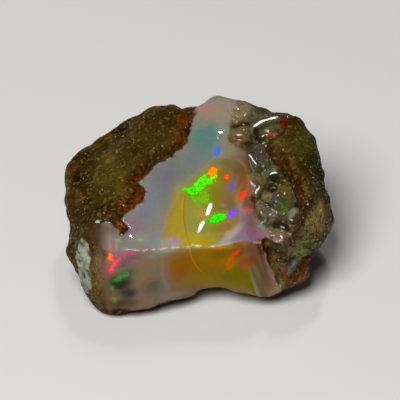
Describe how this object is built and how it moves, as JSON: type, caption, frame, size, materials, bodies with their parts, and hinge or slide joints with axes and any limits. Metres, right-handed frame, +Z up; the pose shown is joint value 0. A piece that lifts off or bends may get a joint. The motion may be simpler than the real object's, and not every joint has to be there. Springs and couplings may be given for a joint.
{
  "type": "rough fire opal",
  "caption": "Hand-size rough of precious opal: a broken, glassy window with play of colour, set in the brown granular rind of its volcanic nodule.",
  "frame": {"origin": "on the resting face, under the middle of the stone's bounding box", "axes": "+Z up, -Y out of the front break, +X to the right along the stone's longest side"},
  "size_m": [0.0268, 0.02, 0.0147],
  "materials": {
    "opal_in_rind": "glassy, wet-looking milky opal with play of colour, in a brown granular rind"
  },
  "bodies": {
    "root": {"rough_opal": "opal_in_rind"}
  },
  "joints": []
}
